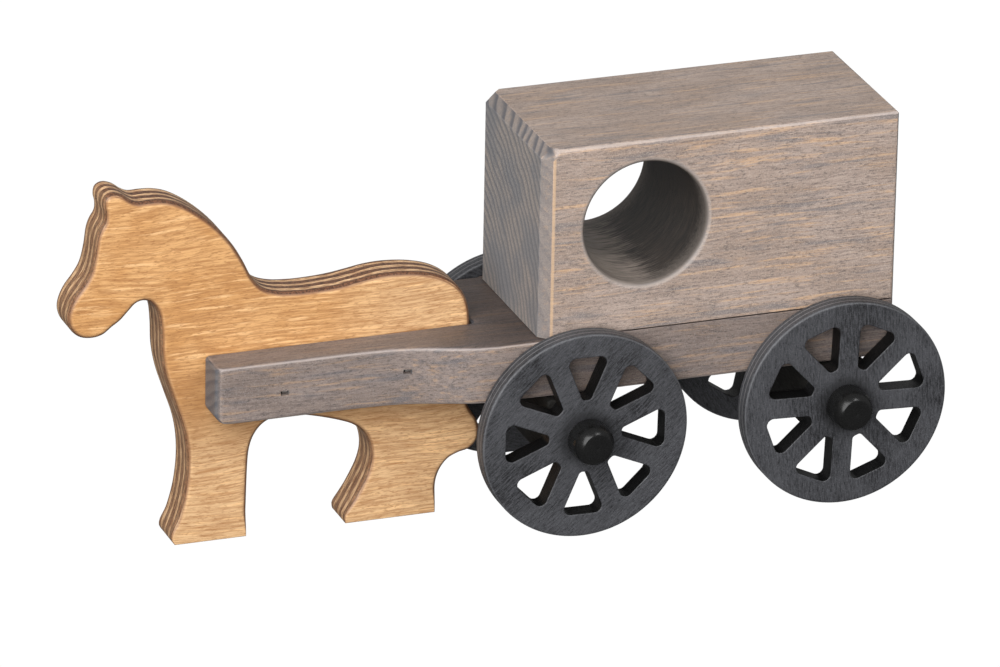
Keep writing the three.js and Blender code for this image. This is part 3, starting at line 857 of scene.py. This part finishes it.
def board_loop():
    front = AXLE_X["front"]
    tip, rear, half = BOARD_HIGH[0], BOARD_LOW[0], BOARD_HIGH[1]
    shoulder = [(x + front, y, 0) for x, y in even(spline(SHOULDER), SHOULDER_SPACING)]
    mirrored = [(x, -y, 0) for x, y, _ in shoulder]
    corners = [
        (rear, half, CORNER),
        (rear, -half, CORNER),
        *mirrored,
        (tip, -SHAFT_HALF_WIDTH, SHAFT_CORNER),
        (tip, -SLOT_HALF_WIDTH, CORNER),
        (SLOT_END + front, -SLOT_HALF_WIDTH, SLOT_CORNER),
        (SLOT_END + front, SLOT_HALF_WIDTH, SLOT_CORNER),
        (tip, SLOT_HALF_WIDTH, CORNER),
        (tip, SHAFT_HALF_WIDTH, SHAFT_CORNER),
        *shoulder[::-1],
    ]
    return divided(rounded(corners), BOARD_SPACING)


def slope_tips(points):
    """Raises the lower front corner of both shafts into a soft slope."""
    past = points[:, 0] - (BOARD_HIGH[0] - TIP_CHAMFER)
    rise = 0.5 * (past + np.sqrt(past**2 + TIP_SOFTNESS**2))
    share = np.clip(1 - (points[:, 2] - BOARD_LOW[2]) / TIP_DEPTH, 0, 1)
    points[:, 2] += rise * share * (past > -3 * TIP_SOFTNESS)


def make_board():
    loop = board_loop()
    margin, length = EDGE_GROWTH
    open_top = np.clip((loop[:, 0] - CABIN_FRONT + margin) / length, 0, 1)
    top = COVERED_EDGE + (BOARD_EDGE - COVERED_EDGE) * open_top
    points, faces = prism([loop], BOARD_LOW[2], BOARD_HIGH[2], [BOARD_EDGE], [top], BOARD_LEVELS)
    slope_tips(points)
    board = object_of("chassis_board_shafts", points, faces)
    brad_holes = brad_cutters(SHAFT_BRADS, ACROSS) + brad_cutters(BLOCK_BRADS, UP)
    carve(board, brad_holes + [screw_cutter(name) for name in SCREWS])
    finish_piece(board, board_stain, "root", "grey_stained_wood", "chassis_board")


make_board()

# ---------------------------------------------------------------- cabin

WINDOW_EDGE = 1.7
WINDOW_SIDES = 128
ROOF_EDGE = 1.9
REAR_EDGE = 1.7
ROUND_STEPS = 7
FLOOR_CHAMFER = 0.12
CREASE = 0.05  # how much the edges of a chamfer are broken
CORNER_CUT = 3.6


def shave(work, normal, point):
    """Takes off all that lies past a plane, and closes the cut."""
    whole = work.verts[:] + work.edges[:] + work.faces[:]
    bmesh.ops.bisect_plane(
        work, geom=whole, dist=WELD, plane_co=Vector(point) * MM, plane_no=normal, clear_outer=True
    )
    bmesh.ops.edgeloop_fill(work, edges=[e for e in work.edges if e.is_boundary])


def round_off(work, corner, first, second, radius):
    """Rounds the box edge through a corner, between the faces that look along two directions."""
    first, second = Vector(first), Vector(second)
    centre = Vector(corner) - (first + second) * radius
    for i in range(1, ROUND_STEPS):
        angle = math.pi / 2 * i / ROUND_STEPS
        normal = first * math.cos(angle) + second * math.sin(angle)
        shave(work, normal, centre + normal * radius)


def chamfer_off(work, corner, first, second, size):
    """Cuts a flat at 45 degrees, and then just breaks its two edges."""
    first, second = Vector(first), Vector(second)
    flat = (first + second).normalized()
    shave(work, flat, Vector(corner) - first * size)
    for face, other in ((first, second), (second, first)):
        shave(work, (face + flat).normalized(), Vector(corner) - other * size - (face + flat) * CREASE)


def window_cutter():
    """A round bar with flared ends, which leaves a rounded rim on both sides."""
    half = CABIN_HIGH[1]
    flare = WINDOW_EDGE
    mouth = []
    for t in np.linspace(0, math.pi / 2, ROUND_STEPS):
        mouth.append((WINDOW_RADIUS + flare * (1 - math.cos(t)), half - flare * (1 - math.sin(t))))
    outer = WINDOW_RADIUS + flare
    profile = [(0, -half - PAST), (outer, -half - PAST)]
    profile += [(r, -w) for r, w in mouth[::-1]] + mouth
    profile += [(outer, half + PAST), (0, half + PAST)]
    points, faces = turned(profile, WINDOW_SIDES)
    return object_of("cutter", placed(points, CROSSWISE, WINDOW), faces)


def make_cabin():
    cabin = box_between("cabin_block", CABIN_LOW, CABIN_HIGH)
    work = bmesh.new()
    work.from_mesh(cabin.data)
    ahead, astern, up, down = (1, 0, 0), (-1, 0, 0), (0, 0, 1), (0, 0, -1)
    front, rear, roof, floor = CABIN_HIGH[0], CABIN_LOW[0], CABIN_HIGH[2], CABIN_LOW[2]
    for y in (CABIN_LOW[1], CABIN_HIGH[1]):
        out = (0, math.copysign(1, y), 0)
        round_off(work, (0, y, roof), up, out, ROOF_EDGE)
        round_off(work, (rear, y, 0), astern, out, REAR_EDGE)
        chamfer_off(work, (front, y, 0), ahead, out, FRONT_CHAMFER)
        chamfer_off(work, (0, y, floor), down, out, FLOOR_CHAMFER)
    round_off(work, (rear, 0, roof), astern, up, REAR_EDGE)
    chamfer_off(work, (front, 0, roof), ahead, up, FRONT_CHAMFER)
    for y in (CABIN_LOW[1], CABIN_HIGH[1]):
        diagonal = Vector((1, math.copysign(1, y), 1)).normalized()
        shave(work, diagonal, Vector((front, y, roof)) - diagonal * CORNER_CUT)
    work.to_mesh(cabin.data)
    work.free()
    carve(cabin, [window_cutter()] + [screw_cutter(name) for name in SCREWS])
    finish_piece(cabin, stain, "root", "grey_stained_wood", "cabin")


make_cabin()

# ---------------------------------------------------------------- axle blocks and axles

BLOCK_EDGE = 0.7
BLOCK_CORNER = 1.2
BLOCK_SPACING = 2.0
BLOCK_HEART = 13.0  # how far along y the grain's origin is moved
BORE_RADIUS = 3.35
BORE_EDGE = 0.3
DOWEL_SIDES = 48
DOWEL_CHAMFER = 0.5


def make_block(axle):
    node = f"{axle}_axle_block"
    low, high = span(node)
    corners = [(low[0], low[2]), (high[0], low[2]), (high[0], high[2]), (low[0], high[2])]
    outline = divided(rounded([(x, z, BLOCK_CORNER) for x, z in corners]), BLOCK_SPACING)
    bore = circle(BORE_RADIUS, DOWEL_SIDES, clockwise=True) + np.array([AXLE_X[axle], AXLE_Z])
    sizes = [BLOCK_EDGE, BORE_EDGE]
    points, faces = prism([outline, bore], low[1], high[1], sizes, sizes)
    block = object_of(f"{axle}_axle_bearer", placed(points, CROSSWISE), faces)
    carve(block, brad_cutters([name for name in BLOCK_BRADS if axle in name], UP))
    heart = (AXLE_X[axle], BLOCK_HEART, 0)
    finish_piece(block, block_black, "root", "dark_stained_wood", node, grain=ALONG_Y, origin=heart)


def make_axle(axle):
    node = f"{axle}_axle"
    low, high = span(node)
    radius, half = (high[2] - low[2]) / 2, high[1]
    end = [(radius, half - DOWEL_CHAMFER), (radius - DOWEL_CHAMFER, half), (0, half)]
    profile = [(r, -w) for r, w in end[::-1]] + end
    points, faces = turned(profile, DOWEL_SIDES)
    dowel = object_of(f"{axle}_axle_dowel", placed(points, CROSSWISE, (AXLE_X[axle], 0, AXLE_Z)), faces)
    finish_piece(dowel, block_black, "root", "axle_dowel", node, grain=ALONG_Y)


for axle in AXLES:
    make_block(axle)
    make_axle(axle)

# ---------------------------------------------------------------- wheels and hub caps

RIM_SIDES = 192
WHEEL_EDGE = 0.85
OPENING_EDGE = 0.4
OPENING_SPACING = 1.2
SPOKES = 8
SPOKE_WIDTH = 6.4
OPENING_INNER_RADIUS, OPENING_OUTER_RADIUS = 11.5, 25.7
OPENING_INNER_CORNER, OPENING_OUTER_CORNER = 1.2, 2.0
HUB_BORE = 3.475

# How far each wheel is turned at rest, and which way the grain of its face runs, in degrees
WHEEL_TURNS = {"front_left": 21.7, "front_right": 10.5, "rear_left": -2.3, "rear_right": -11.5}
GRAIN_TURNS = {"front_left": -42.0, "front_right": 15.0, "rear_left": 86.0, "rear_right": 60.0}


def opening(turn):
    """One wedge between two spokes, as a hole: its sides are parallel to the spokes."""

    def corner(radius, side, rounding):
        tilt = math.pi / SPOKES - math.asin(SPOKE_WIDTH / 2 / radius)
        angle = turn + side * tilt
        return radius * math.cos(angle), radius * math.sin(angle), rounding

    corners = [
        corner(OPENING_INNER_RADIUS, 1, OPENING_INNER_CORNER),
        corner(OPENING_OUTER_RADIUS, 1, OPENING_OUTER_CORNER),
        corner(OPENING_OUTER_RADIUS, -1, OPENING_OUTER_CORNER),
        corner(OPENING_INNER_RADIUS, -1, OPENING_INNER_CORNER),
    ]
    return divided(rounded(corners), OPENING_SPACING)


def make_wheel(axle, side):
    place = f"{axle}_{side}"
    node = f"wheel_{place}"
    low, high = span(node)
    turn = -math.radians(WHEEL_TURNS[place])
    step = 2 * math.pi / SPOKES
    holes = [circle(HUB_BORE, DOWEL_SIDES, clockwise=True)]
    holes += [opening(turn + step * (i + 0.5)) for i in range(SPOKES)]
    loops = [circle(WHEEL_RADIUS, RIM_SIDES), *holes]
    sizes = [WHEEL_EDGE, BORE_EDGE] + [OPENING_EDGE] * SPOKES
    points, faces = prism(loops, low[1], high[1], sizes, sizes)
    wheel = object_of(f"spoked_{node}", placed(points, CROSSWISE, (AXLE_X[axle], 0, AXLE_Z)), faces)
    grain = math.radians(GRAIN_TURNS[place])
    c, s = math.cos(grain), math.sin(grain)
    along = Matrix(((c, 0, s), (-s, 0, c), (0, 1, 0)))
    origin = (AXLE_X[axle], middle(node)[1], AXLE_Z)
    finish_piece(wheel, wheel_black, f"{place}_wheel", "black_wheel", node, grain=along, origin=origin)


CAP_SIDES = 96
CAP_EDGE = 2.0  # how far the shoulder draws in from the cap's side to its flat end
CAP_BEND = math.radians(52)
CAP_BEND_STEPS = 12
CAP_DISH = 0.15  # how far the shoulder's top lies below the middle of the end
CAP_FOOT_CHAMFER = 0.4
SOCKET_CHAMFER = 0.3
SOCKET_DEPTH = 6.0

# The end, from the shoulder to the mark of the lathe's centre: radius and depth
CAP_END = [(4.2, 0.11), (3.0, 0.06), (1.2, 0.02), (0.5, 0.03), (0.25, 0.12), (0, 0.15)]


def make_cap(axle, side):
    """A turned cap: rounded shoulder, nearly flat end and a small mark from the lathe's centre."""
    node = f"hub_cap_{axle}_{side}"
    low, high = span(node)
    radius, length = (high[2] - low[2]) / 2, high[1] - low[1]
    bend = CAP_EDGE / (1 - math.cos(CAP_BEND))
    foot = length - CAP_DISH - bend * math.sin(CAP_BEND)
    profile = [
        (0, SOCKET_DEPTH),
        (HUB_BORE, SOCKET_DEPTH),
        (HUB_BORE, SOCKET_CHAMFER),
        (HUB_BORE + SOCKET_CHAMFER, 0),
        (radius - CAP_FOOT_CHAMFER, 0),
        (radius, CAP_FOOT_CHAMFER),
    ]
    for t in np.linspace(0, CAP_BEND, CAP_BEND_STEPS):
        profile.append((radius - bend * (1 - math.cos(t)), foot + bend * math.sin(t)))
    profile += [(r, length - depth) for r, depth in CAP_END]
    points, faces = turned(profile, CAP_SIDES)
    points[:, 2] = (points[:, 2] + low[1]) if SIDES[side] > 0 else (high[1] - points[:, 2])
    centre = (AXLE_X[axle], 0, AXLE_Z)
    cap = object_of(f"turned_{node}", placed(points, CROSSWISE, centre), faces)
    finish_piece(cap, cap_black, "root", "black_cap", node, grain=ALONG_Y, origin=centre)


for axle in AXLES:
    for side in SIDES:
        make_wheel(axle, side)
        make_cap(axle, side)

# ---------------------------------------------------------------- brads and screws

BRAD_CORNER = 0.18
BRAD_CORNER_STEPS = 3
BRAD_POINT = 2.0
BRAD_BURR = 0.15  # the length over which the cut end grows to the full wire


def make_brad(node, axis, inwards):
    """A length of flat wire with a chisel point at its inner end."""
    low, high = span(node)
    centre, size = (low + high) / 2, high - low
    length = size[axis]
    across, thick = [i for i in range(3) if i != axis]
    a, b = size[across] / 2, size[thick] / 2
    corners = [(a, -b, BRAD_CORNER), (a, b, BRAD_CORNER), (-a, b, BRAD_CORNER), (-a, -b, BRAD_CORNER)]
    section = rounded(corners, BRAD_CORNER_STEPS)
    # where each ring lies along the wire, and its share of the wire's width and thickness
    stations = [
        (-0.5, 0.85, 0.85),
        (-0.5 + BRAD_BURR / length, 1.0, 1.0),
        (0.5 - BRAD_POINT / length, 1.0, 1.0),
        (0.5, 0.25, 1.0),
    ]
    rows = []
    for along, width_share, thickness_share in stations:
        row = np.zeros((len(section), 3))
        row[:, across] = section[:, 0] * width_share
        row[:, thick] = section[:, 1] * thickness_share
        row[:, axis] = along * length * inwards
        rows.append(row + centre)
    n, last = len(section), len(rows) - 1
    faces = [tuple(range(n)), tuple(range(last * n, (last + 1) * n))]
    for r in range(last):
        for i in range(n):
            a, b = r * n + i, r * n + (i + 1) % n
            faces.append((a, b, b + n, a + n))
    brad = object_of(f"wire_{node}", np.vstack(rows), faces)
    finish_piece(brad, bare_steel, "root", "bare_steel", node)


SCREW_SIDES = 36
SHANK_RADIUS = 2.1
HEAD_BEVEL = 0.2
THREAD_START = 7.0
THREAD_END = 4.0  # short of the screw's point
THREAD_PITCH = 2.2
THREAD_DEPTH = 0.65
THREAD_RING_SPACING = 0.22
RECESS_HALF_LENGTH, RECESS_HALF_WIDTH, RECESS_DEPTH = 2.2, 0.45, 1.9


def make_screw(node):
    """A countersunk wood screw, head down, with a cross recess and a turned thread."""
    low, high = span(node)
    head, length = (high[0] - low[0]) / 2, high[2] - low[2]
    root = SHANK_RADIUS - THREAD_DEPTH
    profile = [
        (0, 0), (head - HEAD_BEVEL, 0), (head, HEAD_BEVEL), (head, 0.5), (SHANK_RADIUS, 3.4),
        *((root, w) for w in np.arange(THREAD_START, length - THREAD_END, THREAD_RING_SPACING)),
        (0.35, length - 0.25), (0, length),
    ]

    def ridge(angle, w):
        if not THREAD_START - 0.1 < w < length - THREAD_END:
            return 0
        turn = (w / THREAD_PITCH - angle / (2 * math.pi)) % 1
        return THREAD_DEPTH * max(0, 1 - abs(turn - 0.5) * 4)

    points, faces = turned(profile, SCREW_SIDES, ridge)
    centre = middle(node)
    base = np.array([centre[0], centre[1], low[2]])
    screw = object_of(f"threaded_{node}", placed(points, UPRIGHT, base), faces)
    recess = []
    for long_axis in (0, 1):
        reach = np.array([RECESS_HALF_WIDTH, RECESS_HALF_WIDTH, 0.0])
        reach[long_axis] = RECESS_HALF_LENGTH
        recess.append(box_between("cutter", base - reach - [0, 0, 1], base + reach + [0, 0, RECESS_DEPTH]))
    carve(screw, recess)
    finish_piece(screw, bare_steel, "root", "bare_steel", node)


for name in SHAFT_BRADS:
    make_brad(name, ACROSS, -1 if middle(name)[1] > 0 else 1)
for name in BLOCK_BRADS:
    make_brad(name, UP, 1)
for name in SCREWS:
    make_screw(name)

# ---------------------------------------------------------------- floor and light

FLOOR_REACH = 6.0  # metres
FLOOR_GLOW = 1.02
SKY_HEIGHTS = (-0.4, 0.5)
SKY_STRENGTHS = (0.14, 0.42)  # below the toy, and above it


def make_floor():
    """A sheet of white that takes no shadow, and that the toy neither reflects nor is lit by."""
    mesh = bpy.data.meshes.new("floor")
    r = FLOOR_REACH
    mesh.from_pydata([(-r, -r, 0), (r, -r, 0), (r, r, 0), (-r, r, 0)], [], [(0, 1, 2, 3)])
    floor = bpy.data.objects.new("floor", mesh)
    bpy.context.scene.collection.objects.link(floor)
    paper = Shader("floor_paper", roughness=0.9, specular=0.0)
    paper.set("Base Color", (0, 0, 0, 1))
    paper.set("Emission Color", (1, 1, 1, 1))
    paper.set("Emission Strength", FLOOR_GLOW)
    mesh.materials.append(paper.material)
    floor.visible_diffuse = False
    floor.visible_glossy = False
    floor.visible_shadow = False


def make_light(name, direction, distance, size, watts):
    """A square soft box that faces the middle of the toy; distance and size are in metres."""
    light = bpy.data.lights.new(name, "AREA")
    light.size = size
    light.energy = watts
    lamp = bpy.data.objects.new(name, light)
    bpy.context.scene.collection.objects.link(lamp)
    towards = Vector(direction).normalized()
    lamp.location = CAMERA_AIM * MM + towards * distance
    lamp.rotation_euler = towards.to_track_quat("Z", "Y").to_euler()


def make_world():
    """A studio that is dim below and brighter above."""
    world = bpy.data.worlds.new("studio")
    bpy.context.scene.world = world
    world.use_nodes = True
    tree = world.node_tree
    height = tree.nodes.new("ShaderNodeSeparateXYZ")
    strength = tree.nodes.new("ShaderNodeMapRange")
    strength.interpolation_type = "SMOOTHSTEP"
    for socket, value in zip(strength.inputs[1:5], (*SKY_HEIGHTS, *SKY_STRENGTHS)):
        socket.default_value = value
    place = tree.nodes.new("ShaderNodeTexCoord").outputs["Generated"]
    tree.links.new(place, height.inputs[0])
    tree.links.new(height.outputs[2], strength.inputs[0])
    tree.links.new(strength.outputs[0], tree.nodes["Background"].inputs["Strength"])
    tree.nodes["Background"].inputs["Color"].default_value = (1, 1, 1, 1)


make_floor()
make_light("key", (0.75, 1.0, 0.60), distance=1.7, size=1.5, watts=46.0)
make_light("top", (-0.32, 0.54, 0.78), distance=1.6, size=0.35, watts=6.0)
make_world()
bpy.context.scene.view_settings.view_transform = "Standard"
